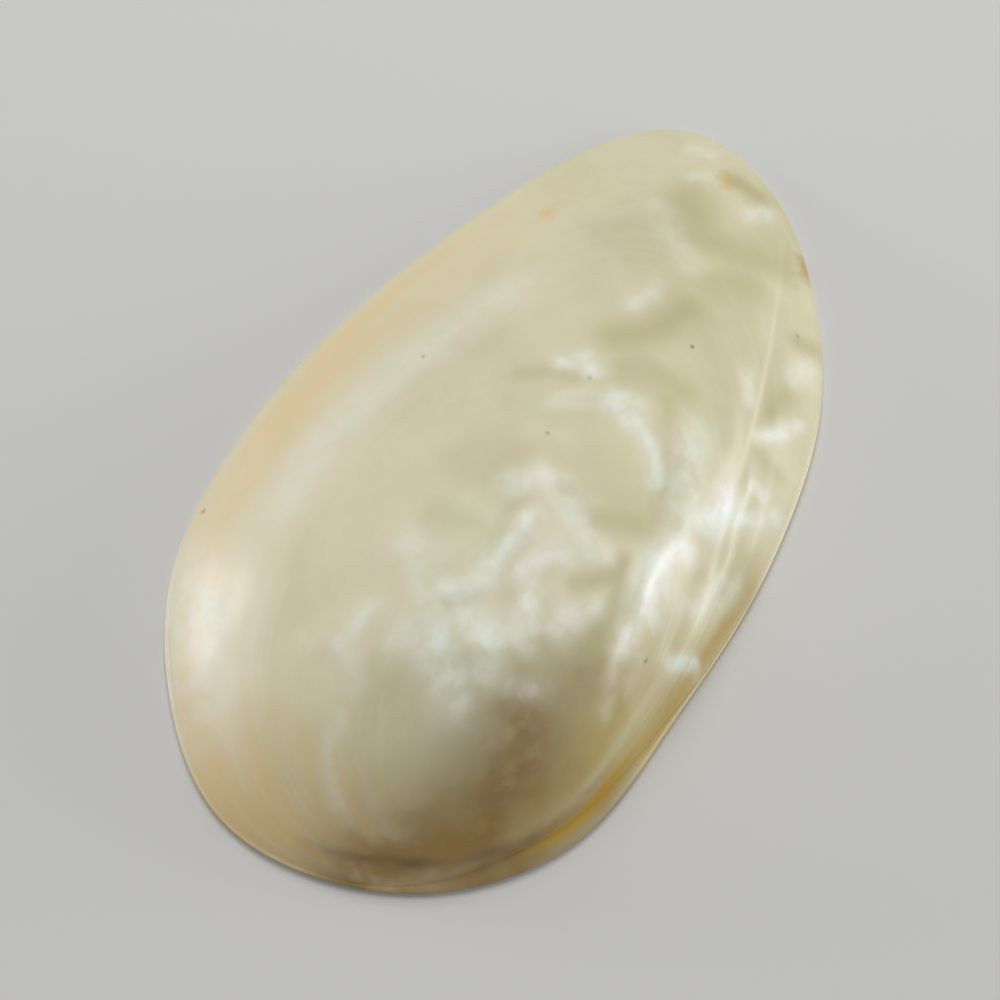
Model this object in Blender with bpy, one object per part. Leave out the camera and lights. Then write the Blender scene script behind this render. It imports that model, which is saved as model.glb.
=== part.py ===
"""One valve of a freshwater pearl mussel, ground and polished down to its mother-of-pearl.

The valve lies on its lapped rim with the domed side up.
+X is the narrow hind end, -X the broad front end, +Y the belly edge and -Y the hinge edge.
Lengths are in millimetres and become metres where the mesh is made.
"""

import bpy
import numpy as np

MM = 0.001

# outline of the rim, seen from above
RIM_POINTS = [
    (-58.0, -10.0),
    (-49.5, -24.6),
    (-35.0, -33.7),
    (-18.0, -35.0),
    (-1.0, -35.0),
    (15.5, -33.0),
    (32.0, -28.0),
    (46.0, -18.5),
    (57.0, -5.5),
    (59.0, 11.0),
    (46.5, 22.0),
    (30.5, 28.0),
    (14.0, 32.5),
    (-2.5, 35.0),
    (-20.0, 34.8),
    (-36.4, 30.8),
    (-50.0, 20.8),
    (-59.0, 6.5),
]

# outer dome
BEAK = (-42.0, -27.5)
CROWN = (-14.0, -9.0)
DOME_RISE = 19.0
EDGE_HEIGHT = 1.5
# how the dome falls away towards the hind, belly, front and hinge edges
DOME_ROUNDNESS = (1.75, 2.0, 2.3, 2.7)
DOME_STEEPNESS = (1.0, 0.95, 0.78, 0.62)
UMBO_AT = (-32.0, -18.0)
UMBO_RISE = 2.6
UMBO_SPREAD = (13.0, 9.0)

# strip between the dome's foot and the rim, widest where the ligament sat
SHOULDER_WIDTH = 0.4
LEDGE_WIDTH = 2.3
LEDGE_SPAN = (-58.0, -42.0, -36.0, -6.0)
LEDGE_HEIGHT = 2.4

# ridge from the beak towards the hind end, and the groove and ripples of the wing beside it
RIDGE_LINE = (-23.6, 0.17, 0.0015)
RIDGE_RISE = 1.5
RIDGE_SPREAD = 2.8
RIDGE_SPAN = (-36.0, -22.0, -4.0, 18.0)
WING_LINE = (-28.7, 0.22, 0.0028)
WING_SPAN = (-12.0, 4.0, 44.0, 56.0)
GROOVE_DEPTH = 0.45
GROOVE_SPREAD = 1.6
RIPPLE_RISE = 0.3
RIPPLE_LENGTH = 11.5

# low swells across the ridge, one behind the other as the shell grew
SWELL_RISE = 0.25
SWELL_STEP = 0.17
SWELL_SPREAD = 16.0

# a crescent-shaped step on the way to the hind end
CRESCENT_AT = (0.0, -9.0)
CRESCENT_RADIUS = 10.2
CRESCENT_RISE = 0.5
CRESCENT_WIDTH = 2.2
# soft folds over the crown: points in plan, rise and width
FOLDS = [
    ([(-2.0, -4.5), (-5.9, -10.0), (-8.7, -15.5), (-9.1, -18.6)], 0.32, 2.2),
    ([(-10.0, -7.0), (-16.3, -8.1), (-19.6, -7.7), (-23.8, -3.8), (-27.2, -2.9)], 0.32, 2.2),
    ([(-12.2, -12.6), (-15.3, -11.9), (-18.0, -12.8), (-19.8, -14.7)], 0.25, 1.9),
    ([(-14.8, -21.0), (-17.4, -19.8), (-20.8, -19.1)], 0.45, 2.2),
    ([(-34.0, -2.0), (-30.5, -7.5), (-27.5, -12.5), (-24.5, -16.0)], 0.35, 3.0),
    ([(-36.5, 5.0), (-29.6, 2.0)], 0.3, 2.4),
]

# flat lapped band that the valve rests on
BAND_INSET = 0.7
BAND_WIDTH = 1.6

# hollow side
BOWL_CENTRE = (-11.0, -2.0)
BOWL_RISE = 16.0
BOWL_ROUNDNESS = (1.8, 2.0, 2.3, 2.4)
BOWL_STEEPNESS = (1.0, 1.0, 0.82, 0.8)
LIP_WIDTH = 0.6
LIP_HEIGHT = 0.5
HINGE_PLATE_WIDTH = 5.0
HINGE_PLATE_SLOPE = 2.4
HINGE_SPAN = (-58.0, -38.0, 4.0, 42.0)
HINGE_PLATE_HEIGHT = 1.5
TOOTH_INSET = 5.2
TOOTH_RISE = 1.0
TOOTH_SPREAD = 0.8
TOOTH_SPAN = (-26.0, -18.0, 14.0, 22.0)
KNOB_AT = (-38.5, -26.0)
KNOB_RISE = 0.9
KNOB_SPREAD = 1.9
# muscle scars: place, radius and depth
SCARS = [((-44.0, -9.0), 6.5, 0.5), ((39.0, -4.0), 8.0, 0.4)]

# mesh density: points round each ring, and how much finer the outline is worked out
ROUND = 80
FINER = 12
DOME_RINGS = 28
BOWL_RINGS = 18


def closed_curve(points, count):
    """Smooth closed curve through the points: a periodic cubic spline, spaced evenly by length."""
    knots = np.array(points)
    eye = np.eye(len(knots))
    stiffness = 4 * eye + np.roll(eye, 1, axis=0) + np.roll(eye, -1, axis=0)
    slopes = np.linalg.solve(stiffness, 3 * (np.roll(knots, -1, axis=0) - np.roll(knots, 1, axis=0)))
    place = np.linspace(0, len(knots), 40 * len(knots), endpoint=False)
    start = place.astype(int)
    end = (start + 1) % len(knots)
    f = (place - start)[:, None]
    dense = (2 * f**3 - 3 * f**2 + 1) * knots[start] + (3 * f**2 - 2 * f**3) * knots[end]
    dense += (f**3 - 2 * f**2 + f) * slopes[start] + (f**3 - f**2) * slopes[end]
    loop = np.vstack([dense, dense[:1]])
    run = np.concatenate([[0], np.cumsum(np.hypot(*np.diff(loop, axis=0).T))])
    even = np.linspace(0, run[-1], count, endpoint=False)
    return np.stack([np.interp(even, run, loop[:, 0]), np.interp(even, run, loop[:, 1])], axis=1)


def inset_curve(curve, distance):
    """The closed curve moved inwards by a distance given for each of its points."""
    tangent = np.roll(curve, -1, axis=0) - np.roll(curve, 1, axis=0)
    inward = np.stack([-tangent[:, 1], tangent[:, 0]], axis=1)
    inward /= np.linalg.norm(inward, axis=1)[:, None]
    return curve + inward * np.reshape(distance, (-1, 1))


def rise(value, low, high):
    """Smooth step from 0 at low to 1 at high."""
    f = np.clip((value - low) / (high - low), 0, 1)
    return f * f * (3 - 2 * f)


def span(value, limits):
    """Smooth window: 0 outside the four limits, 1 between the inner two."""
    return rise(value, limits[0], limits[1]) * (1 - rise(value, limits[2], limits[3]))


def bump(distance, spread):
    """Bell shape, 1 at distance 0."""
    return np.exp(-((distance / spread) ** 2))


def by_side(x, y, centre, values):
    """Blends the hind, belly, front and hinge values by the direction seen from the centre."""
    dx, dy = x - centre[0], y - centre[1]
    length = np.maximum(np.hypot(dx, dy), 1e-9)
    dx, dy = dx / length, dy / length
    hind, belly, front, hinge = values
    return np.where(dx > 0, hind, front) * dx**2 + np.where(dy > 0, belly, hinge) * dy**2


def reach(x, y, centre, curve):
    """Distance from the centre as a share of the way out to the curve."""
    bearing = np.arctan2(curve[:, 1] - centre[1], curve[:, 0] - centre[0])
    radius = np.hypot(curve[:, 0] - centre[0], curve[:, 1] - centre[1])
    out = np.interp(np.arctan2(y - centre[1], x - centre[0]), bearing, radius, period=2 * np.pi)
    return np.hypot(x - centre[0], y - centre[1]) / out


def dome(x, y, centre, foot, height, roundness, steepness):
    """Rounded dome that is zero along its foot curve and highest over its centre."""
    share = np.clip(reach(x, y, centre, foot), 0, 1)
    power = by_side(x, y, centre, roundness)
    fall = by_side(x, y, centre, steepness)
    return height * (1 - share**power) ** fall


def rim_distance(x, y, rim):
    """Distance in plan from the rim's outline."""
    gaps = np.hypot(x.reshape(-1, 1) - rim[:, 0], y.reshape(-1, 1) - rim[:, 1])
    return gaps.min(axis=1).reshape(x.shape)


def hinge_side(y):
    """1 along the hinge edge and 0 along the belly edge."""
    return 1 - rise(y, -16, -6)


def ledge(x, y):
    """1 along the stretch of the hinge edge where the ligament sat."""
    return span(x, LEDGE_SPAN) * hinge_side(y)


def beside(x, y, line):
    """Distance to the belly side of a gently curved line, given as y = a + b x + c x squared."""
    start, slope, bend = line
    steepness = slope + 2 * bend * x
    return (y - start - slope * x - bend * x**2) / np.sqrt(1 + steepness**2)


def crescent(x, y):
    """A hollow and then a crest, one outside the other, round part of a circle."""
    dx, dy = x - CRESCENT_AT[0], y - CRESCENT_AT[1]
    radius = np.maximum(np.hypot(dx, dy), 1e-9)
    out = (radius - CRESCENT_RADIUS) / CRESCENT_WIDTH
    return out * np.exp(-(out**2)) * rise(dx / radius, 0.35, 0.75)


def fold(x, y, points, width):
    """Bell-shaped crest along a line through the points."""
    nearest = np.full(x.shape, np.inf)
    for (ax, ay), (bx, by) in zip(points[:-1], points[1:]):
        along = ((x - ax) * (bx - ax) + (y - ay) * (by - ay)) / ((bx - ax) ** 2 + (by - ay) ** 2)
        along = np.clip(along, 0, 1)
        gap = np.hypot(x - ax - along * (bx - ax), y - ay - along * (by - ay))
        nearest = np.minimum(nearest, gap)
    return bump(nearest, width)


def outer_height(x, y, rim, foot):
    """Height of the polished outer face."""
    margin = rim_distance(x, y, rim)
    near_edge = 1 - rise(margin, LEDGE_WIDTH, 3 * LEDGE_WIDTH)
    z = EDGE_HEIGHT + (LEDGE_HEIGHT - EDGE_HEIGHT) * ledge(x, y) * near_edge
    z += dome(x, y, CROWN, foot, DOME_RISE, DOME_ROUNDNESS, DOME_STEEPNESS)

    inside = 1 - np.clip(reach(x, y, CROWN, foot), 0, 1) ** 6
    umbo = bump(x - UMBO_AT[0], UMBO_SPREAD[0]) * bump(y - UMBO_AT[1], UMBO_SPREAD[1])
    from_ridge = beside(x, y, RIDGE_LINE)
    ridge = bump(from_ridge, RIDGE_SPREAD) * span(x, RIDGE_SPAN)
    z += (UMBO_RISE * umbo + RIDGE_RISE * ridge) * inside
    growth = reach(x, y, BEAK, foot)
    swell = np.sin(2 * np.pi * growth / SWELL_STEP) * bump(from_ridge, SWELL_SPREAD)
    swell *= rise(np.hypot(x - BEAK[0], y - BEAK[1]), 10, 26)
    z += SWELL_RISE * swell * span(growth, (0.25, 0.4, 0.7, 0.95))
    z += CRESCENT_RISE * crescent(x, y)
    for points, height, width in FOLDS:
        z += height * fold(x, y, points, width)

    past = beside(x, y, WING_LINE)
    wing = span(x, WING_SPAN)
    z -= GROOVE_DEPTH * bump(past, GROOVE_SPREAD) * wing * rise(margin, 0.7, 3)
    ripple = np.sin(2 * np.pi * x / RIPPLE_LENGTH) * (1 - rise(past, -3, 0)) * rise(margin, 0.7, 4)
    z += RIPPLE_RISE * ripple * wing
    return z


def inner_height(x, y, rim, bowl_foot):
    """Height of the hollow face above the lapped band, hinge plate and teeth included."""
    margin = rim_distance(x, y, rim)
    z = dome(x, y, BOWL_CENTRE, bowl_foot, BOWL_RISE, BOWL_ROUNDNESS, BOWL_STEEPNESS)
    hinge = span(x, HINGE_SPAN) * hinge_side(y)
    plate_start = BAND_INSET + BAND_WIDTH
    z += LIP_HEIGHT * rise(margin, plate_start, plate_start + LIP_WIDTH)
    slope_end = plate_start + HINGE_PLATE_SLOPE
    z += (HINGE_PLATE_HEIGHT - LIP_HEIGHT) * rise(margin, plate_start, slope_end) * hinge
    tooth = bump(margin - TOOTH_INSET, TOOTH_SPREAD) * span(x, TOOTH_SPAN)
    knob = bump(np.hypot(x - KNOB_AT[0], y - KNOB_AT[1]), KNOB_SPREAD)
    z -= (TOOTH_RISE * tooth + KNOB_RISE * knob) * hinge
    for place, radius, depth in SCARS:
        distance = np.hypot(x - place[0], y - place[1])
        z += depth * (1 - rise(distance, 0.8 * radius, 1.1 * radius))
    return z


def valve_rings():
    """Rings of points from the crown down the dome, round the rim and up into the hollow."""
    rim = closed_curve(RIM_POINTS, FINER * ROUND)
    strip = SHOULDER_WIDTH + (LEDGE_WIDTH - SHOULDER_WIDTH) * ledge(rim[:, 0], rim[:, 1])
    foot = inset_curve(rim, strip)
    rings = []

    def ring(plan, height):
        rings.append(np.column_stack([plan, height])[::FINER])

    # polished dome, from its crown down to its foot
    crown = np.array(CROWN)
    for k in range(DOME_RINGS + 1):
        share = (k / DOME_RINGS) ** 0.8
        plan = crown + share * (foot - crown)
        top = outer_height(plan[:, 0], plan[:, 1], rim, foot)
        ring(plan, top)

    # shoulder strip, rounded edge and flat band
    edge = np.full(len(rim), EDGE_HEIGHT)
    for out, drop in ((0.5, 0.25), (0.85, 0.6)):
        ring(foot + out * (rim - foot), top + drop * (0.8 * edge - top))
    ring(rim, 0.6 * edge)
    ring(inset_curve(rim, 0.25 * BAND_INSET), 0.2 * edge)
    ring(inset_curve(rim, BAND_INSET), 0 * edge)
    start = BAND_INSET + BAND_WIDTH
    ring(inset_curve(rim, start), 0 * edge)

    # hinge plate and bowl
    hinge = span(rim[:, 0], HINGE_SPAN) * hinge_side(rim[:, 1])
    plate = LIP_WIDTH + (HINGE_PLATE_WIDTH - LIP_WIDTH) * hinge
    bowl_foot = inset_curve(rim, start + plate)
    for share in (0.2, 0.4, 0.6, 0.8):
        plan = inset_curve(rim, start + share * plate)
        ring(plan, inner_height(plan[:, 0], plan[:, 1], rim, bowl_foot))
    centre = np.array(BOWL_CENTRE)
    for k in range(BOWL_RINGS + 1):
        share = (1 - k / BOWL_RINGS) ** 0.8
        plan = centre + share * (bowl_foot - centre)
        ring(plan, inner_height(plan[:, 0], plan[:, 1], rim, bowl_foot))
    return rings


def closed_mesh(name, rings, first_pole, last_pole):
    """One closed mesh from a stack of rings, with a fan of triangles onto a pole at either end."""
    count = len(rings[0])
    points = np.vstack([[first_pole], *rings, [last_pole]]) * MM
    last = len(points) - 1
    faces = []
    for i in range(count):
        j = (i + 1) % count
        faces.append((0, 1 + i, 1 + j))
        for k in range(len(rings) - 1):
            near, far = 1 + k * count, 1 + (k + 1) * count
            faces.append((near + i, far + i, far + j, near + j))
        end = 1 + (len(rings) - 1) * count
        faces.append((end + i, last, end + j))
    mesh = bpy.data.meshes.new(name)
    mesh.from_pydata(points.tolist(), [], faces)
    mesh.shade_smooth()
    return mesh


def mother_of_pearl():
    """Polished shell: pale cream with a pearly coat."""
    material = bpy.data.materials.new("mother_of_pearl")
    material.use_nodes = True
    shader = material.node_tree.nodes["Principled BSDF"]
    shader.inputs["Base Color"].default_value = (0.72, 0.66, 0.50, 1)
    shader.inputs["Roughness"].default_value = 0.3
    shader.inputs["Metallic"].default_value = 0.0
    shader.inputs["Coat Weight"].default_value = 0.5
    return material


def valve():
    """The whole valve as one solid, in its own collection."""
    rings = valve_rings()
    mesh = closed_mesh("valve", rings[1:-1], rings[0][0], rings[-1][0])
    mesh.materials.append(mother_of_pearl())
    collection = bpy.data.collections.new("mussel_valve")
    bpy.context.scene.collection.children.link(collection)
    collection.objects.link(bpy.data.objects.new("valve", mesh))


for existing in list(bpy.data.objects):
    bpy.data.objects.remove(existing)

valve()
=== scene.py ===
"""One valve of a freshwater pearl mussel, ground and polished to mother-of-pearl, lying on its rim.

+X is the narrow hind end, +Y the belly edge, -Y the hinge edge and +Z the domed side.
Shell sizes are in millimetres and become metres where the mesh is made.
"""

import bpy
import numpy as np
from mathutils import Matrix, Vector


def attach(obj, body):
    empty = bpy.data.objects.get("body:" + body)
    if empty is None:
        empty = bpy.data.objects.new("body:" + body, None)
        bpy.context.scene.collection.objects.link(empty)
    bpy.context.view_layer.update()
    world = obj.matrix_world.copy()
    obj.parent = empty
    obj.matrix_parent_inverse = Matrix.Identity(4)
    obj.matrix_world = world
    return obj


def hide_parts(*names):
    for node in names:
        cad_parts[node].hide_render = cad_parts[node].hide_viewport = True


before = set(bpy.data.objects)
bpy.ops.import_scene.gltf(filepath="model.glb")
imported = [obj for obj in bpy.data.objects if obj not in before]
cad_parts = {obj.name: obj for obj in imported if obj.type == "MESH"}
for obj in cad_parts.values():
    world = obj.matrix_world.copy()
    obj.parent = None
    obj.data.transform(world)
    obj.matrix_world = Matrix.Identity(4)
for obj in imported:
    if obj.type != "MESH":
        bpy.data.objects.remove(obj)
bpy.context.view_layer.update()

# The valve: its rim and polished outside.
# Shell is laid down as thin layers of pearl, and each layer reaches a little past the last,
# so the whole surface spreads from the beak. The brown skin was ground away and the pearl polished.

MM = 0.001

# a separate script fitted these points to the photograph's silhouette, laid flat through the
# camera's angles, to the nearest half millimetre; some were then moved by hand
RIM_POINTS = [
    (-58.0, -10.0),
    (-49.5, -24.6),
    (-35.0, -33.7),
    (-18.0, -35.0),
    (-1.0, -35.0),
    (15.5, -33.0),
    (32.0, -28.0),
    (46.0, -18.5),
    (57.0, -5.5),
    (59.0, 11.0),
    (46.5, 22.0),
    (30.5, 28.0),
    (14.0, 32.5),
    (-2.5, 35.0),
    (-20.0, 34.8),
    (-36.4, 30.8),
    (-50.0, 20.8),
    (-59.0, 6.5),
]

BEAK = (-42.0, -27.5)
CROWN = (-14.0, -9.0)
DOME_RISE = 19.0
EDGE_HEIGHT = 1.5
# how the dome falls away towards the hind, belly, front and hinge edges
DOME_ROUNDNESS = (1.75, 2.0, 2.3, 2.7)
DOME_STEEPNESS = (1.0, 0.95, 0.78, 0.62)
UMBO_AT = (-32.0, -18.0)
UMBO_RISE = 2.6
UMBO_SPREAD = (13.0, 9.0)

# between these two values of y the hinge side gives way to the belly side
HINGE_SIDE = (-16.0, -6.0)
SHOULDER_WIDTH = 0.4
LEDGE_WIDTH = 2.3
LEDGE_SPAN = (-58.0, -42.0, -36.0, -6.0)
LEDGE_HEIGHT = 2.4

# the ridge and the edge of the wing, as start, slope and bend, and where along x each shows
RIDGE_LINE = (-23.6, 0.17, 0.0015)
RIDGE_RISE = 1.5
RIDGE_SPREAD = 2.8
RIDGE_SPAN = (-36.0, -22.0, -4.0, 18.0)
WING_LINE = (-28.7, 0.22, 0.0028)
WING_SPAN = (-12.0, 4.0, 44.0, 56.0)
GROOVE_DEPTH = 0.45
GROOVE_SPREAD = 1.6
RIPPLE_RISE = 0.3
RIPPLE_LENGTH = 11.5
# the ripples are full from this far on the hinge side of the wing's line
RIPPLE_START = -3.0
# the groove and the ripples fade out towards the rim, between these distances from it
GROOVE_FADE = (0.7, 3.0)
RIPPLE_FADE = (0.7, 4.0)

# a crescent-shaped step on the way to the hind end: it fades in between two cosines of the bearing
CRESCENT_AT = (0.0, -9.0)
CRESCENT_RADIUS = 10.2
CRESCENT_RISE = 0.5
CRESCENT_WIDTH = 2.2
CRESCENT_FADE = (0.35, 0.75)
# soft folds over the crown and along the ridge: points in plan, rise and width; the points were
# picked by eye in the photograph, and a separate script carried most of them onto the shell
FOLDS = [
    ([(-2.0, -4.5), (-5.9, -10.0), (-8.7, -15.5), (-9.1, -18.6)], 0.32, 2.2),
    ([(-10.0, -7.0), (-16.3, -8.1), (-19.6, -7.7), (-23.8, -3.8), (-27.2, -2.9)], 0.32, 2.2),
    ([(-12.2, -12.6), (-15.3, -11.9), (-18.0, -12.8), (-19.8, -14.7)], 0.25, 1.9),
    ([(-14.8, -21.0), (-17.4, -19.8), (-20.8, -19.1)], 0.45, 2.2),
    ([(-34.0, -2.0), (-30.5, -7.5), (-27.5, -12.5), (-24.5, -16.0)], 0.35, 3.0),
    ([(-36.5, 5.0), (-29.6, 2.0)], 0.3, 2.4),
]

# low swells of growth, as shares of the way from the beak to the edge
SWELL_RISE = 0.25
SWELL_STEP = 0.17
SWELL_SPREAD = 16.0
SWELL_SPAN = (0.25, 0.4, 0.7, 0.95)
# swells and waves start between these distances from the beak, which is smooth
BEAK_CLEAR = (10.0, 26.0)

# points round each ring, rings from crown to foot, and a power that sets them closer to the edge
ROUND = 320
DOME_RINGS = 170
DOME_RING_POWER = 0.9


def closed_curve(points, count):
    """Smooth closed curve: a periodic cubic spline through the points, spaced evenly by length."""
    knots = np.array(points)
    eye = np.eye(len(knots))
    stiffness = 4 * eye + np.roll(eye, 1, axis=0) + np.roll(eye, -1, axis=0)
    slopes = np.linalg.solve(stiffness, 3 * (np.roll(knots, -1, axis=0) - np.roll(knots, 1, axis=0)))
    place = np.linspace(0, len(knots), 160 * len(knots), endpoint=False)
    start = place.astype(int)
    end = (start + 1) % len(knots)
    f = (place - start)[:, None]
    dense = (2 * f**3 - 3 * f**2 + 1) * knots[start] + (3 * f**2 - 2 * f**3) * knots[end]
    dense += (f**3 - 2 * f**2 + f) * slopes[start] + (f**3 - f**2) * slopes[end]
    loop = np.vstack([dense, dense[:1]])
    run = np.concatenate([[0], np.cumsum(np.hypot(*np.diff(loop, axis=0).T))])
    even = np.linspace(0, run[-1], count, endpoint=False)
    return np.stack([np.interp(even, run, loop[:, 0]), np.interp(even, run, loop[:, 1])], axis=1)


def inset_curve(curve, distance):
    """Each point moved inwards, square to the curve, by its own distance."""
    tangent = np.roll(curve, -1, axis=0) - np.roll(curve, 1, axis=0)
    inward = np.stack([-tangent[:, 1], tangent[:, 0]], axis=1)
    inward /= np.linalg.norm(inward, axis=1)[:, None]
    return curve + inward * np.reshape(distance, (-1, 1))


def rise(value, low, high):
    """Smooth step from 0 at low to 1 at high: 3 f squared minus 2 f cubed."""
    f = np.clip((value - low) / (high - low), 0, 1)
    return f * f * (3 - 2 * f)


def span(value, limits):
    """Smooth window: 0 outside the four limits, 1 between the inner two."""
    return rise(value, limits[0], limits[1]) * (1 - rise(value, limits[2], limits[3]))


def bump(distance, spread):
    """Bell shape: e to the minus distance over spread, squared."""
    return np.exp(-((distance / spread) ** 2))


def by_side(x, y, centre, values):
    """Blends four values, hind, belly, front and hinge, by the squared cosine of the bearing."""
    dx, dy = x - centre[0], y - centre[1]
    length = np.maximum(np.hypot(dx, dy), 1e-9)
    dx, dy = dx / length, dy / length
    hind, belly, front, hinge = values
    return np.where(dx > 0, hind, front) * dx**2 + np.where(dy > 0, belly, hinge) * dy**2


def reach(x, y, centre, curve):
    """Distance from the centre as a share of the way out to the curve."""
    bearing = np.arctan2(curve[:, 1] - centre[1], curve[:, 0] - centre[0])
    radius = np.hypot(curve[:, 0] - centre[0], curve[:, 1] - centre[1])
    out = np.interp(np.arctan2(y - centre[1], x - centre[0]), bearing, radius, period=2 * np.pi)
    return np.hypot(x - centre[0], y - centre[1]) / out


def dome(x, y, centre, foot, height, roundness, steepness):
    """Height times (1 - share of the way out ^ roundness) ^ steepness."""
    share = np.clip(reach(x, y, centre, foot), 0, 1)
    power = by_side(x, y, centre, roundness)
    fall = by_side(x, y, centre, steepness)
    return height * (1 - share**power) ** fall


def rim_distance(x, y):
    """Distance in plan from the rim's outline, one ring at a time."""
    rows = zip(np.atleast_2d(x), np.atleast_2d(y))
    gaps = [np.hypot(a[:, None] - rim[:, 0], b[:, None] - rim[:, 1]).min(axis=1) for a, b in rows]
    return np.reshape(gaps, np.shape(x))


def hinge_side(y):
    """1 along the hinge edge and 0 along the belly edge."""
    return 1 - rise(y, *HINGE_SIDE)


def ledge(x, y):
    """1 along the stretch of the hinge edge where the ligament sat."""
    return span(x, LEDGE_SPAN) * hinge_side(y)


def beside(x, y, line):
    """Distance to the belly side of a gently curved line, given as y = a + b x + c x squared."""
    start, slope, bend = line
    steepness = slope + 2 * bend * x
    return (y - start - slope * x - bend * x**2) / np.sqrt(1 + steepness**2)


def crescent(x, y):
    """Hollow then crest round part of a circle: r e to the minus r squared, r being 0 on the circle."""
    dx, dy = x - CRESCENT_AT[0], y - CRESCENT_AT[1]
    radius = np.maximum(np.hypot(dx, dy), 1e-9)
    out = (radius - CRESCENT_RADIUS) / CRESCENT_WIDTH
    return out * np.exp(-(out**2)) * rise(dx / radius, *CRESCENT_FADE)


def fold(x, y, points, width):
    """Bell-shaped crest along a line through the points: e to the minus distance over width, squared."""
    nearest = np.full(x.shape, np.inf)
    for (ax, ay), (bx, by) in zip(points[:-1], points[1:]):
        along = ((x - ax) * (bx - ax) + (y - ay) * (by - ay)) / ((bx - ax) ** 2 + (by - ay) ** 2)
        along = np.clip(along, 0, 1)
        gap = np.hypot(x - ax - along * (bx - ax), y - ay - along * (by - ay))
        nearest = np.minimum(nearest, gap)
    return bump(nearest, width)


def outer_height(x, y):
    """Dome, umbo, ridge, growth swells, folds, wing groove and ripples, added one to another."""
    margin = rim_distance(x, y)
    near_edge = 1 - rise(margin, LEDGE_WIDTH, 3 * LEDGE_WIDTH)
    z = EDGE_HEIGHT + (LEDGE_HEIGHT - EDGE_HEIGHT) * ledge(x, y) * near_edge
    z += dome(x, y, CROWN, foot, DOME_RISE, DOME_ROUNDNESS, DOME_STEEPNESS)

    inside = 1 - np.clip(reach(x, y, CROWN, foot), 0, 1) ** 6
    umbo = bump(x - UMBO_AT[0], UMBO_SPREAD[0]) * bump(y - UMBO_AT[1], UMBO_SPREAD[1])
    from_ridge = beside(x, y, RIDGE_LINE)
    ridge = bump(from_ridge, RIDGE_SPREAD) * span(x, RIDGE_SPAN)
    z += (UMBO_RISE * umbo + RIDGE_RISE * ridge) * inside
    growth = reach(x, y, BEAK, foot)
    swell = np.sin(2 * np.pi * growth / SWELL_STEP) * bump(from_ridge, SWELL_SPREAD)
    swell *= rise(np.hypot(x - BEAK[0], y - BEAK[1]), *BEAK_CLEAR)
    z += SWELL_RISE * swell * span(growth, SWELL_SPAN)
    z += CRESCENT_RISE * crescent(x, y)
    for points, height, width in FOLDS:
        z += height * fold(x, y, points, width)

    past = beside(x, y, WING_LINE)
    wing = span(x, WING_SPAN)
    z -= GROOVE_DEPTH * bump(past, GROOVE_SPREAD) * wing * rise(margin, *GROOVE_FADE)
    ripple = np.sin(2 * np.pi * x / RIPPLE_LENGTH) * (1 - rise(past, RIPPLE_START, 0))
    z += RIPPLE_RISE * ripple * rise(margin, *RIPPLE_FADE) * wing
    return z


rim = closed_curve(RIM_POINTS, ROUND)
strip = SHOULDER_WIDTH + (LEDGE_WIDTH - SHOULDER_WIDTH) * ledge(rim[:, 0], rim[:, 1])
foot = inset_curve(rim, strip)

# rings by points: each ring is the foot curve drawn smaller towards the crown
share = np.linspace(0, 1, DOME_RINGS + 1) ** DOME_RING_POWER
dome_plan = np.array(CROWN) + share[:, None, None] * (foot - CROWN)
dome_top = outer_height(dome_plan[..., 0], dome_plan[..., 1])
dome_rings = np.dstack([dome_plan, dome_top])

# The rim: the shoulder strip below the dome, a rounded edge and the flat band it rests on.
# The rim was lapped on a flat stone, which leaves a narrow flat all round.

BAND_INSET = 0.7
BAND_WIDTH = 1.6
BAND_RINGS = 3
# the shoulder falls towards the upper height, and the edge is rounded below the lower one
EDGE_TOP = 0.8 * EDGE_HEIGHT
EDGE_LOW = 0.6 * EDGE_HEIGHT
# how far out from the dome's foot, and how far down towards the edge, each shoulder ring lies
SHOULDER_OUT = np.array([0.17, 0.34, 0.5, 0.68, 0.85, 0.94])
SHOULDER_DROP = np.array([0.05, 0.14, 0.25, 0.41, 0.6, 0.78])
EDGE_TURN = np.radians([0, 15, 30, 45, 60, 75, 90])

shoulder_plan = foot + SHOULDER_OUT[:, None, None] * (rim - foot)
shoulder_z = dome_top[-1] + SHOULDER_DROP[:, None] * (EDGE_TOP - dome_top[-1])
shoulder_rings = np.dstack([shoulder_plan, shoulder_z])

edge_rings = np.array([
    np.column_stack([
        inset_curve(rim, BAND_INSET * (1 - np.cos(turn))),
        np.full(ROUND, EDGE_LOW * (1 - np.sin(turn))),
    ])
    for turn in EDGE_TURN
])
band_end = BAND_INSET + BAND_WIDTH
band_rings = np.array([
    np.column_stack([inset_curve(rim, inset), np.zeros(ROUND)])
    for inset in np.linspace(BAND_INSET, band_end, BAND_RINGS + 1)[1:]
])

# The hollow side: hinge plate with one long tooth and one stump, bowl and two muscle scars.
# It is pearl as the animal left it, smooth, with a shallow scar where each muscle held on.

BOWL_CENTRE = (-11.0, -2.0)
BOWL_RISE = 16.0
BOWL_ROUNDNESS = (1.8, 2.0, 2.3, 2.4)
BOWL_STEEPNESS = (1.0, 1.0, 0.82, 0.8)
LIP_WIDTH = 0.6
LIP_HEIGHT = 0.5
HINGE_PLATE_WIDTH = 5.0
HINGE_PLATE_SLOPE = 2.4
HINGE_SPAN = (-58.0, -38.0, 4.0, 42.0)
HINGE_PLATE_HEIGHT = 1.5
TOOTH_INSET = 5.2
TOOTH_RISE = 1.0
TOOTH_SPREAD = 0.8
TOOTH_SPAN = (-26.0, -18.0, 14.0, 22.0)
KNOB_AT = (-38.5, -26.0)
KNOB_RISE = 0.9
KNOB_SPREAD = 1.9
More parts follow.
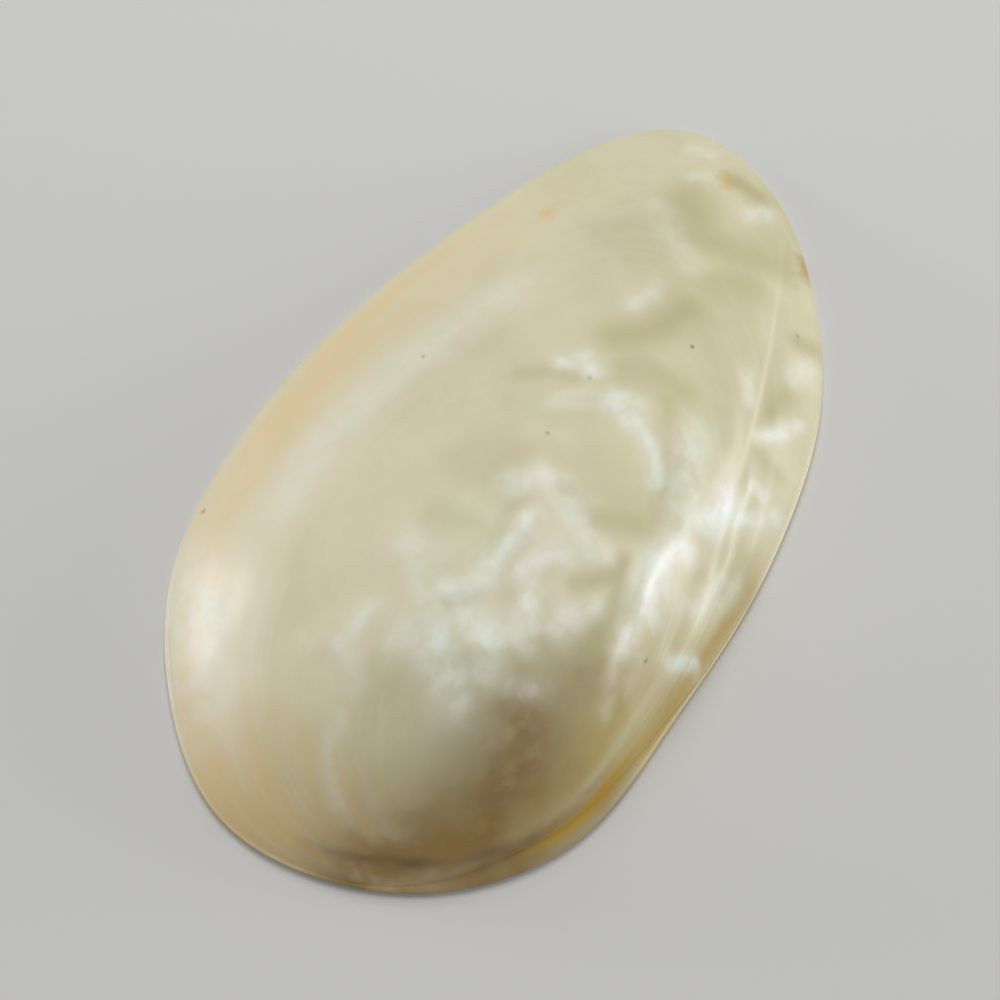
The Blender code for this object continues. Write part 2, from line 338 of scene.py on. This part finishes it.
# the muscle scars: place, radius and depth, with a soft edge between two shares of the radius
SCARS = [((-44.0, -9.0), 6.5, 0.5), ((39.0, -4.0), 8.0, 0.4)]
SCAR_EDGE = (0.8, 1.1)
PLATE_RINGS = 16
BOWL_RINGS = 70
BOWL_RING_POWER = 0.8


def inner_height(x, y):
    """Bowl dome plus the lip and hinge plate, less the tooth and stump, plus the scars' hollows."""
    margin = rim_distance(x, y)
    z = dome(x, y, BOWL_CENTRE, bowl_foot, BOWL_RISE, BOWL_ROUNDNESS, BOWL_STEEPNESS)
    hinge = span(x, HINGE_SPAN) * hinge_side(y)
    z += LIP_HEIGHT * rise(margin, band_end, band_end + LIP_WIDTH)
    slope_end = band_end + HINGE_PLATE_SLOPE
    z += (HINGE_PLATE_HEIGHT - LIP_HEIGHT) * rise(margin, band_end, slope_end) * hinge
    tooth = bump(margin - TOOTH_INSET, TOOTH_SPREAD) * span(x, TOOTH_SPAN)
    knob = bump(np.hypot(x - KNOB_AT[0], y - KNOB_AT[1]), KNOB_SPREAD)
    z -= (TOOTH_RISE * tooth + KNOB_RISE * knob) * hinge
    for place, radius, depth in SCARS:
        distance = np.hypot(x - place[0], y - place[1])
        z += depth * (1 - rise(distance, SCAR_EDGE[0] * radius, SCAR_EDGE[1] * radius))
    return z


hinge_reach = span(rim[:, 0], HINGE_SPAN) * hinge_side(rim[:, 1])
plate = LIP_WIDTH + (HINGE_PLATE_WIDTH - LIP_WIDTH) * hinge_reach
bowl_foot = inset_curve(rim, band_end + plate)
plate_share = np.linspace(0, 1, PLATE_RINGS + 1)[1:-1]
plate_plan = np.array([inset_curve(rim, band_end + part * plate) for part in plate_share])
bowl_share = (1 - np.linspace(0, 1, BOWL_RINGS + 1)) ** BOWL_RING_POWER
bowl_plan = np.array(BOWL_CENTRE) + bowl_share[:, None, None] * (bowl_foot - BOWL_CENTRE)
hollow_plan = np.vstack([plate_plan, bowl_plan])
hollow_rings = np.dstack([hollow_plan, inner_height(hollow_plan[..., 0], hollow_plan[..., 1])])

# The whole valve is one closed skin of rings, with a pole at the crown and one in the bowl.
# It grew as one piece of pearl, so the outside, the rim and the hollow share one mesh.

rings = np.concatenate([dome_rings, shoulder_rings, edge_rings, band_rings, hollow_rings])


def closed_skin(name, rings):
    """Rings joined by quads: point (k, i) with (k + 1, i), (k + 1, i + 1) and (k, i + 1).

    The first and last rings have shrunk to a point each, and become fans of triangles.
    """
    count = rings.shape[1]
    inner = rings[1:-1]
    points = np.vstack([rings[0, :1], inner.reshape(-1, 3), rings[-1, :1]]) * MM
    i = np.arange(count)
    j = (i + 1) % count
    row = 1 + count * np.arange(len(inner) - 1)[:, None]
    quads = np.stack([row + i, row + count + i, row + count + j, row + j], axis=-1).reshape(-1, 4)
    last_row = 1 + count * (len(inner) - 1)
    first_fan = np.stack([0 * i, 1 + i, 1 + j], axis=-1)
    last_fan = np.stack([last_row + i, 0 * i + len(points) - 1, last_row + j], axis=-1)
    mesh = bpy.data.meshes.new(name)
    mesh.from_pydata(points, [], first_fan.tolist() + quads.tolist() + last_fan.tolist())
    mesh.shade_smooth()
    piece = bpy.data.objects.new(name, mesh)
    bpy.context.scene.collection.objects.link(piece)
    return piece


def mark(piece, name, values):
    """Keeps a number, or three, for each point of the skin as a named attribute for the material."""
    flat = np.concatenate([values[0, :1], *values[1:-1], values[-1, :1]])
    kind, field = ("FLOAT_VECTOR", "vector") if values.ndim == 3 else ("FLOAT", "value")
    layer = piece.data.attributes.new(name, kind, "POINT")
    layer.data.foreach_set(field, flat.reshape(-1).astype(np.float32))


valve = closed_skin("polished_valve", rings)
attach(valve, "root")
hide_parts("valve")

x, y = rings[..., 0], rings[..., 1]
from_rim = rim_distance(x, y)
from_beak = np.hypot(x - BEAK[0], y - BEAK[1])
growth = reach(x, y, BEAK, rim)
bearing = np.arctan2(y - BEAK[1], x - BEAK[0])
hollow_side = np.zeros(x.shape)
hollow_side[len(dome_rings) + len(shoulder_rings) + len(edge_rings):] = 1

# Marks on the polished skin, for the material: soft lines in plan, each with its width and strength.
# The beak is worn and brown, deepened with painted shade. Elsewhere painted highlights and painted shade
# lie over the pearl in soft lines.

# The points were picked in the photograph. Most of them were carried onto the
# shell, and the painted highlight and painted shade ones rounded to half a millimetre; some were moved.
# A separate script carried most of them onto the shell and another rounded the silvery and dull ones to
# half a millimetre; some were moved by hand.

# worn brown at the beak, partly painted shade where the umbo faces away from the light
WORN_AND_SHADE = [
    ([(-46.0, -25.0), (-38.0, -24.0), (-31.5, -22.0)], 5.5, 1.0),
    ([(-27.5, -22.5), (-21.5, -24.2)], 3.2, 0.6),
    ([(-40.0, -29.0), (-31.5, -28.5)], 2.8, 0.45),
]
# painted shade: a grey-olive darkening round the beak, which faces away from the light
BEAK_SHADE = [([(-46.0, -19.5), (-37.0, -20.5), (-26.0, -22.0)], 8.5, 1.0)]
# painted highlights: near-white soft lines where light shone off the crown, ridge, wing and hind end, and
# a painted glow along the belly edge
PAINTED_HIGHLIGHTS = [
    ([(11.0, -7.0), (10.5, -8.5), (10.0, -11.0)], 1.6, 0.85),
    ([(10.0, -11.0), (9.0, -13.5), (7.0, -16.0), (5.0, -17.5)], 1.3, 0.6),
    ([(12.0, -7.0), (12.5, -10.0)], 1.2, 0.7),
    ([(12.0, 1.5), (14.0, -0.5), (13.0, -2.5)], 1.4, 0.7),
    ([(-6.5, -3.5), (-4.0, -5.5), (-3.5, -8.0), (-5.0, -11.0), (-7.5, -15.0), (-8.5, -18.0)], 1.8, 0.5),
    ([(-24.0, -3.5), (-22.5, -5.5), (-20.5, -7.5), (-17.0, -7.5)], 1.9, 0.6),
    ([(-17.0, -7.5), (-11.5, -8.0), (-9.5, -8.0)], 1.6, 0.5),
    ([(-11.5, -14.0), (-13.5, -12.0), (-16.0, -11.5), (-17.5, -13.5), (-20.0, -15.0)], 1.6, 0.55),
    ([(-20.0, -19.0), (-17.5, -19.5), (-15.0, -21.0)], 1.6, 0.55),
    ([(-35.5, 3.0), (-33.5, 2.5), (-30.0, 2.5)], 1.4, 0.6),
    ([(-29.0, -18.5), (-27.0, -21.0)], 1.7, 0.3),
    ([(-31.5, -3.5), (-28.0, -3.5), (-25.5, -4.0), (-23.5, -1.5), (-20.0, 3.5)], 2.2, 0.4),
    ([(-36.0, 1.5), (-38.5, -2.0)], 1.8, 0.3),
    ([(-29.5, -7.0), (-32.0, -11.5), (-33.5, -13.0)], 3.0, 0.65),
    ([(-25.0, -9.5), (-26.0, -13.0), (-29.5, -14.5)], 2.8, 0.5),
    ([(-20.0, -15.0), (-23.5, -16.0)], 2.2, 0.45),
    ([(-1.0, -25.0), (-4.0, -24.0), (-7.0, -25.0), (-11.0, -26.0)], 2.1, 0.95),
    ([(-9.0, -26.0), (-12.5, -27.0), (-15.5, -28.0), (-19.5, -29.0)], 1.1, 0.25),
    ([(-11.0, -26.0), (-14.0, -26.0)], 1.6, 0.9),
    ([(-14.0, -26.0), (-17.0, -26.5)], 1.3, 0.55),
    ([(-17.0, -26.5), (-23.5, -28.5)], 1.0, 0.25),
    ([(14.0, -17.5), (7.5, -20.5), (3.5, -22.5), (-1.0, -24.5)], 2.4, 0.55),
    ([(5.0, -25.5), (8.0, -26.0), (10.5, -25.5)], 1.8, 1.0),
    ([(8.5, -28.0), (11.0, -29.5), (14.5, -31.5)], 1.0, 0.8),
    ([(-1.5, -32.0), (2.5, -32.5)], 1.2, 0.35),
    ([(21.0, -24.0), (23.5, -26.0), (27.5, -27.0)], 0.9, 0.6),
    ([(14.5, -27.5), (14.5, -29.0)], 0.9, 0.7),
    ([(33.0, -23.0), (36.0, -23.5)], 1.4, 0.5),
    ([(27.5, -18.0), (24.5, -20.5)], 1.2, 0.45),
    ([(-12.5, -31.5), (-9.5, -33.5)], 0.9, 0.8),
    ([(-5.5, -30.0), (-3.5, -30.5), (0.5, -30.5)], 1.4, 0.45),
    ([(56.0, 8.0), (57.0, 5.5)], 1.0, 0.6),
    ([(50.5, -4.5), (53.0, -6.0)], 1.2, 0.6),
    ([(50.5, 5.5), (53.0, 3.5)], 1.0, 0.3),
    ([(30.5, -1.5), (28.5, -2.0), (25.5, -1.0)], 1.3, 0.45),
    ([(43.0, 6.5), (39.0, 0.5), (36.5, -3.5)], 2.0, 0.25),
    ([(-42.5, -2.0), (-45.5, -2.5), (-48.5, -4.5), (-50.5, -7.0), (-51.5, -9.0)], 1.2, 0.3),
    ([(20.5, 14.0), (3.0, 19.5), (-12.0, 22.5), (-23.0, 21.0)], 2.8, 0.3),
    ([(-36.5, 25.5), (-38.5, 22.5), (-41.0, 19.0)], 2.0, 0.4),
    ([(-36.0, 28.0), (-45.0, 22.0), (-50.5, 15.5)], 4.5, 0.35),
]
# painted shade: darker olive-beige soft lines between the highlights, over the crown, ridge and hind end
PAINTED_SHADE_LINES = [
    ([(-4.0, -9.5), (-5.0, -14.0), (-2.0, -19.0)], 2.4, 0.6),
    ([(-13.5, -17.5), (-9.0, -21.0)], 1.9, 0.7),
    ([(-7.5, -20.5), (-11.5, -22.5), (-18.5, -23.0)], 1.5, 0.7),
    ([(-1.0, -28.0), (-4.0, -28.5), (-10.5, -30.0)], 1.6, 0.5),
    ([(-15.0, 1.0), (-13.5, -3.0)], 2.6, 0.4),
    ([(19.5, -2.0), (23.5, -5.0), (30.0, -7.0)], 3.0, 0.7),
    ([(16.5, -5.5), (18.5, -13.0)], 2.6, 0.4),
    ([(16.0, -12.5), (10.0, -17.0), (3.5, -20.0), (-1.5, -20.5)], 1.7, 0.5),
    ([(46.5, 3.0), (42.0, -1.5), (43.5, -7.5), (46.5, -11.5)], 3.6, 0.6),
    ([(36.0, -7.0), (40.0, -11.5)], 3.6, 0.5),
    ([(55.0, 0.0), (55.0, -4.0)], 1.6, 0.8),
    ([(38.0, -20.5), (39.0, -22.5)], 1.6, 0.7),
    ([(25.5, -23.5), (29.5, -23.5)], 1.5, 0.6),
    ([(19.0, -25.5), (19.0, -28.5)], 1.4, 0.6),
    ([(6.5, -31.5), (1.0, -33.0)], 1.6, 0.5),
    ([(-24.5, -6.0), (-26.5, -8.5)], 1.4, 0.5),
    ([(-18.0, -9.5), (-22.5, -13.0)], 1.1, 0.5),
    ([(-38.0, -3.0), (-35.5, -8.0)], 2.6, 0.3),
    ([(7.5, 5.0), (10.0, 2.0), (11.0, -1.5)], 1.3, 0.4),
    ([(1.5, -7.0), (-1.0, -13.5)], 5.5, 0.35),
    ([(-5.5, -1.5), (-10.5, -8.0), (-17.0, -12.5), (-26.0, -12.0)], 5.5, 0.5),
]


def soft_lines(lines):
    """The strongest of several soft lines at each point of the skin: strength times its fold."""
    return np.max([strength * fold(x, y, points, width) for points, width, strength in lines], axis=0)


def hinge_strip(limits):
    """Smooth window along x, on the hinge side only."""
    return span(x, limits) * hinge_side(y)


# strips along the edge, each a bell over the distance from the rim times a window along it,
# and a crease along the edge of the wing
golden_edge = bump(from_rim - 5, 4.5) * hinge_strip((-50, -40, -22, -3))
pale_line = bump(from_rim - 3.5, 0.45) * hinge_strip((-34, -30, -18, -8))
hinge_edge = bump(from_rim - 1.1, 1.1) * hinge_strip((-30, -20, 0, 12))
ligament = bump(from_rim - 0.85 * LEDGE_WIDTH, 0.7) * hinge_strip((-44, -36, -28, -19))
# the brown top of the ledge, darkened partly as painted shade
ledge_brown_and_shade = 1 - rise(from_rim, 0.7 * LEDGE_WIDTH, LEDGE_WIDTH)
ledge_brown_and_shade *= hinge_strip((-50, -42, -30, -20))
dark_seam = bump(from_rim - LEDGE_WIDTH - 0.5, 0.5) * span(x, (-59, -54, -36, -24)) * rise(-y, 2, 16)
# amber at the front corner by the hinge, darkened in part as painted shade
amber_corner_and_shade = bump(from_rim, 9) * rise(-x, 24, 44) * rise(-y, 2, 16)
front_edge = bump(from_rim, 15) * rise(-x, 30, 56) * rise(-y, -22, 2)
wing_crease = bump(beside(x, y, WING_LINE), 0.35) * span(x, (12, 20, 46, 53))

for name, values in (
    ("painted_highlight", soft_lines(PAINTED_HIGHLIGHTS)),
    ("painted_shade", soft_lines(PAINTED_SHADE_LINES)),
    ("worn_and_shade", soft_lines(WORN_AND_SHADE)),
    ("beak_shade", soft_lines(BEAK_SHADE)),
    ("golden_edge", golden_edge),
    ("pale_line", pale_line),
    ("hinge_edge", hinge_edge),
    ("ligament", ligament),
    ("ledge_brown_and_shade", ledge_brown_and_shade),
    ("dark_seam", dark_seam),
    ("amber_corner_and_shade", amber_corner_and_shade),
    ("front_edge", front_edge),
    ("wing_crease", wing_crease),
):
    mark(valve, name, values * (1 - hollow_side))
mark(valve, "hollow", hollow_side)

# growth lines change quickly on the way out from the beak, and slowly round it
BEARING_SHARE = 0.12
mark(valve, "growth", growth)
mark(valve, "laid", np.dstack([growth, BEARING_SHARE * np.cos(bearing), BEARING_SHARE * np.sin(bearing)]))

# the belly side, by the bearing from the beak: its sine, turned a little, between two values
BELLY_TURN = 0.15
BELLY_FADE = (0.2, 0.7)
belly = rise(np.sin(bearing - BELLY_TURN), *BELLY_FADE)
mark(valve, "belly", belly)

# how strongly the pearl waves: most over the crown and towards the hinge, least at the belly and edge
WAVY_SPAN = (0.12, 0.3, 0.6, 0.95)
WAVY_LEAST = 0.15
calm = 0.85 * belly * rise(growth, 0.3, 0.6)
wavy = WAVY_LEAST + (1 - WAVY_LEAST) * span(growth, WAVY_SPAN) * (1 - calm)
mark(valve, "wavy", wavy * rise(from_beak, *BEAK_CLEAR))

# Mother-of-pearl: thin plates of aragonite, ground and polished.
# The skin is glassy and smooth, and under it the plates lie in waves, so they give back
# broad patches of silvery light with a little pink and green in them.


def linear(hex_colour):
    """sRGB hex colour as linear red, green, blue and alpha."""
    srgb = np.array([int(hex_colour[k:k + 2], 16) for k in (1, 3, 5)]) / 255
    low, high = srgb / 12.92, ((srgb + 0.055) / 1.055) ** 2.4
    return (*np.where(srgb <= 0.04045, low, high).tolist(), 1.0)


def add_node(material, kind, links=(), **settings):
    """Adds a node. Settings name sockets or properties, and links are (output, own socket)."""
    node = material.node_tree.nodes.new(kind)
    for name, value in settings.items():
        if hasattr(node, name):
            setattr(node, name, value)
        else:
            node.inputs[name.replace("_", " ")].default_value = value
    for output, socket in links:
        material.node_tree.links.new(output, node.inputs[socket])
    return node


pearl = bpy.data.materials.new("mother_of_pearl")
pearl.use_nodes = True
shader = pearl.node_tree.nodes["Principled BSDF"]


def marked(name, output="Fac"):
    """A number kept on the skin's points, or three of them as a Vector."""
    return add_node(pearl, "ShaderNodeAttribute", attribute_name=name).outputs[output]


laid = marked("laid", "Vector")
place = add_node(pearl, "ShaderNodeTexCoord").outputs["Object"]


def noise(coordinates, size, detail=2.0, distortion=0.0):
    """Noise between 0 and 1, with patches about this many thousandths across.

    Thousandths are millimetres on the object's coordinates, and shares of the way to the edge
    on the laid mark.
    """
    node = add_node(pearl, "ShaderNodeTexNoise", [(coordinates, "Vector")],
                    Scale=1000 / size, Detail=detail, Distortion=distortion)
    return node.outputs["Fac"]


def between(value, low, high, start=0.0, end=1.0):
    """Smooth map of a value from low..high to start..end."""
    node = add_node(pearl, "ShaderNodeMapRange", [(value, "Value")], interpolation_type="SMOOTHSTEP")
    for name, number in (("From Min", low), ("From Max", high), ("To Min", start), ("To Max", end)):
        node.inputs[name].default_value = number
    return node.outputs["Result"]


def combine(operation, first, second):
    """Sum or product of two values, either of which may be a plain number."""
    node = add_node(pearl, "ShaderNodeMath", operation=operation)
    for socket, value in zip(node.inputs, (first, second)):
        if isinstance(value, float):
            socket.default_value = value
        else:
            pearl.node_tree.links.new(value, socket)
    return node.outputs["Value"]


def times(*values):
    """Product of all the values."""
    product = values[0]
    for value in values[1:]:
        product = combine("MULTIPLY", product, value)
    return product


def patchy(name, coordinates, size, detail, limits, shares):
    """A mark thinned in patches: its value times noise that goes smoothly from limits to shares."""
    return times(marked(name), between(noise(coordinates, size, detail), *limits, *shares))


# a colour mix node takes its two colours at sockets 6 and 7 and gives the mix at output 2
UNDER, OVER, MIXED = 6, 7, 2


def tint(colour, share, hex_colour):
    """Lays a colour over another by a share from 0 to 1."""
    node = add_node(pearl, "ShaderNodeMix", [(share, "Factor")], data_type="RGBA")
    if isinstance(colour, str):
        node.inputs[UNDER].default_value = linear(colour)
    else:
        pearl.node_tree.links.new(colour, node.inputs[UNDER])
    node.inputs[OVER].default_value = linear(hex_colour)
    return node.outputs[MIXED]


# the ground: cream in soft clouds, with a fine grain and faint bands along the growth lines
clouds = noise(place, 20, 3.0, 0.3)
grain = noise(place, 2.5, 4.0)
colour = tint("#E3DCB8", between(clouds, 0.42, 0.7), "#D3CDA6")
colour = tint(colour, between(grain, 0.4, 0.7, 0.0, 0.12), "#CBC49C")
drawn_out = add_node(pearl, "ShaderNodeVectorMath", [(laid, 0)], operation="MULTIPLY")
drawn_out.inputs[1].default_value = (1, 0.25, 0.25)
growth_lines = noise(drawn_out.outputs["Vector"], 11, 3.0)
colour = tint(colour, between(growth_lines, 0.45, 0.7, 0.0, 0.16), "#E9DFBE")

# towards the belly: broader bands, then a pale band, then peach out to the edge
bands = noise(laid, 50, 2.0)
colour = tint(colour, times(between(bands, 0.45, 0.65, 0.0, 0.5), marked("belly")), "#E3D9BC")
pale_starts = between(marked("growth"), 0.64, 0.80)
pale_ends = between(marked("growth"), 0.84, 0.93, 0.8, 0.0)
colour = tint(colour, times(pale_starts, pale_ends, marked("belly")), "#E5DDBF")
peach_starts = between(marked("growth"), 0.80, 0.94)
peach_ends = between(marked("growth"), 0.96, 1.0, 1.0, 0.3)
peach_bands = between(bands, 0.4, 0.6, 1.0, 0.45)
colour = tint(colour, times(peach_starts, peach_ends, peach_bands, marked("belly")), "#E8D2A2")

# the front edge warms to yellow, a greyer painted shade lies round the beak, and the hinge edge is golden
colour = tint(colour, patchy("front_edge", laid, 60, 3.0, (0.3, 0.65), (0.45, 1.0)), "#E6C686")
colour = tint(colour, times(marked("beak_shade"), 0.65), "#AFA47E")
colour = tint(colour, patchy("golden_edge", place, 8, 3.0, (0.35, 0.65), (0.6, 0.85)), "#B9A351")

# the beak is worn brown and speckled, its brown partly painted shade, and the corner in front of it is
# amber, darkened in part as painted shade
colour = tint(colour, patchy("worn_and_shade", place, 9, 3.0, (0.3, 0.6), (0.45, 1.0)), "#937848")
colour = tint(colour, times(between(grain, 0.5, 0.7, 0.0, 0.5), marked("worn_and_shade")), "#B5A375")
colour = tint(colour, patchy("amber_corner_and_shade", place, 10, 3.0, (0.4, 0.6), (0.35, 0.95)), "#91702A")

# along the hinge edge: a gold line, the brown ledge, partly painted shade, with the ligament's golden
# streak, and further in a pale line and a dark seam; along the wing a pale crease
for name, share, hex_colour in (
    ("hinge_edge", 0.85, "#BEA03C"),
    ("ledge_brown_and_shade", 0.6, "#94814E"),
    ("ligament", 1.0, "#C39C1C"),
    ("pale_line", 0.25, "#E8E2C8"),
):
    colour = tint(colour, times(marked(name), share), hex_colour)
colour = tint(colour, patchy("dark_seam", place, 8, 2.0, (0.35, 0.65), (0.4, 0.8)), "#6B4A22")
colour = tint(colour, times(marked("wing_crease"), 0.5), "#F2EBCB")


def spot(at, radius):
    """0.8 at a point, fading raggedly to 0 at about the radius from it, both in millimetres."""
    node = add_node(pearl, "ShaderNodeVectorMath", [(place, 0)], operation="DISTANCE")
    node.inputs[1].default_value = tuple(MM * value for value in at)
    ragged = times(node.outputs["Value"], between(noise(place, 2, 2.0), 0.3, 0.7, 0.6, 1.5))
    return between(ragged, 0.0, MM * radius, 0.8, 0.0)


# stains and specks that the grinding left: place, radius and colour; most places were picked in the
# photograph and carried onto the shell by the same separate script as the lines
for at, radius, hex_colour in (
    ((34.3, 18.4, 6.3), 2.2, "#E4C886"),
    ((54.1, 1.1, 3.6), 2.4, "#D9BC68"),
    ((49.5, -15.0, 1.2), 3.6, "#BC9E5A"),
    ((-53.0, -15.5, 4.0), 4.5, "#A5822E"),
    ((-48.0, -21.5, 6.0), 5.0, "#A07C2C"),
    ((-27.2, 32.0, 2.5), 0.9, "#A58A62"),
    ((11.8, -2.9, 17.6), 0.7, "#94784E"),
    ((1.8, -3.1, 19.2), 0.5, "#857050"),
    ((4.4, 18.2, 12.1), 0.5, "#857050"),
    ((25.2, -10.5, 12.9), 0.5, "#857050"),
    ((38.6, -19.8, 4.0), 0.5, "#75603F"),
    ((-14.9, -29.0, 13.4), 0.6, "#857050"),
):
    colour = tint(colour, spot(at, radius), hex_colour)

# the painted shade and painted highlight lines, with a little green and pink painted into the highlights
# as sheen, and the grey hollow side
colour = tint(colour, marked("painted_shade"), "#BEB584")
highlight_share = patchy("painted_highlight", place, 2.8, 5.0, (0.36, 0.6), (0.5, 1.0))
colour = tint(colour, highlight_share, "#F6F9EC")
hue = noise(place, 5, 1.0)
colour = tint(colour, times(highlight_share, between(hue, 0.52, 0.66, 0.0, 0.4)), "#D9F2E6")
colour = tint(colour, times(highlight_share, between(hue, 0.34, 0.48, 0.45, 0.0)), "#F6E2DE")
colour = tint(colour, marked("hollow"), "#DDDBD2")

# relief: the plates of pearl lie in waves about a centimetre across, and the grain barely shows;
# the height is in metres
WAVE_HEIGHT = 0.0009
waves = combine("ADD", noise(place, 12, 1.0), times(noise(laid, 70, 1.0), 0.3))
relief = combine("ADD", times(waves, marked("wavy")), times(grain, 0.01))
plates = add_node(pearl, "ShaderNodeBump", [(relief, "Height")], Strength=1.0, Distance=WAVE_HEIGHT)

# gloss: satin in patches under a thin clear polish, with a film, in nanometres, for the sheen
satin = between(noise(place, 9, 2.0, 0.3), 0.3, 0.7, 0.32, 0.46)
film = between(noise(place, 15, 2.0, 0.4), 0.3, 0.7, 275.0, 315.0)

for output, socket in (
    (colour, "Base Color"), (plates.outputs["Normal"], "Normal"),
    (film, "Thin Film Thickness"), (satin, "Roughness"),
):
    pearl.node_tree.links.new(output, shader.inputs[socket])
for socket, value in (
    ("Metallic", 0.0), ("IOR", 1.6), ("Specular IOR Level", 0.5),
    ("Thin Film IOR", 1.56), ("Coat Weight", 0.1), ("Coat Roughness", 0.2),
):
    shader.inputs[socket].default_value = value
valve.data.materials.append(pearl)

# Floor, light and camera: pale paper, and four square soft lights.
# The high light gives the crown its broad glow, and the low ones rake the belly, wing and ridge.

FLOOR_REACH = 3.0
corners = [(FLOOR_REACH * i, FLOOR_REACH * j, 0) for i, j in ((-1, -1), (1, -1), (1, 1), (-1, 1))]
floor_mesh = bpy.data.meshes.new("floor")
floor_mesh.from_pydata(corners, [], [(0, 1, 2, 3)])
floor = bpy.data.objects.new("floor", floor_mesh)
bpy.context.scene.collection.objects.link(floor)
paper = bpy.data.materials.new("pale_paper")
paper.use_nodes = True
paper.node_tree.nodes["Principled BSDF"].inputs["Base Color"].default_value = linear("#DAD9D6")
paper.node_tree.nodes["Principled BSDF"].inputs["Roughness"].default_value = 0.8
floor_mesh.materials.append(paper)

world = bpy.data.worlds.new("studio")
world.use_nodes = True
world.node_tree.nodes["Background"].inputs["Color"].default_value = linear("#E8EAEC")
world.node_tree.nodes["Background"].inputs["Strength"].default_value = 0.37
bpy.context.scene.world = world


def softbox(name, azimuth, elevation, distance, size, power):
    """Square area light aimed at the valve; azimuth is turned from +X towards +Y, in degrees."""
    turn, tilt = np.radians([azimuth, elevation])
    direction = Vector((np.cos(turn) * np.cos(tilt), np.sin(turn) * np.cos(tilt), np.sin(tilt)))
    lamp = bpy.data.lights.new(name, "AREA")
    lamp.size = size
    lamp.energy = power
    light = bpy.data.objects.new(name, lamp)
    light.location = direction * distance
    light.rotation_euler = direction.to_track_quat("Z", "Y").to_euler()
    bpy.context.scene.collection.objects.link(light)


# azimuth and elevation in degrees, distance and size in metres, power in watts
softbox("key_light", 36, 67, 0.7, 0.4, 2.15)
softbox("window_light", 107, 6, 0.9, 0.34, 2.7)
softbox("side_light", -50, 11, 0.9, 0.4, 2.4)
softbox("ridge_light", -74, 12, 0.9, 0.3, 1.0)

# the camera looks down from the front and hinge side; its azimuth is turned from -Y towards +X
CAMERA_AZIMUTH = -55.75
CAMERA_ELEVATION = 68.0
CAMERA_DISTANCE = 0.30
CAMERA_TARGET = (-0.00282, 0.00111, 0.0)
LENS_MM = 80.2
SENSOR_MM = 36.0

turn, tilt = np.radians([CAMERA_AZIMUTH, CAMERA_ELEVATION])
back = Vector((np.sin(turn) * np.cos(tilt), -np.cos(turn) * np.cos(tilt), np.sin(tilt)))
lens = bpy.data.cameras.new("camera")
lens.lens = LENS_MM
lens.sensor_width = SENSOR_MM
lens.clip_start = 0.01
camera = bpy.data.objects.new("camera", lens)
camera.location = Vector(CAMERA_TARGET) + back * CAMERA_DISTANCE
camera.rotation_euler = back.to_track_quat("Z", "Y").to_euler()
bpy.context.scene.collection.objects.link(camera)
bpy.context.scene.camera = camera
bpy.context.scene.view_settings.view_transform = "Standard"
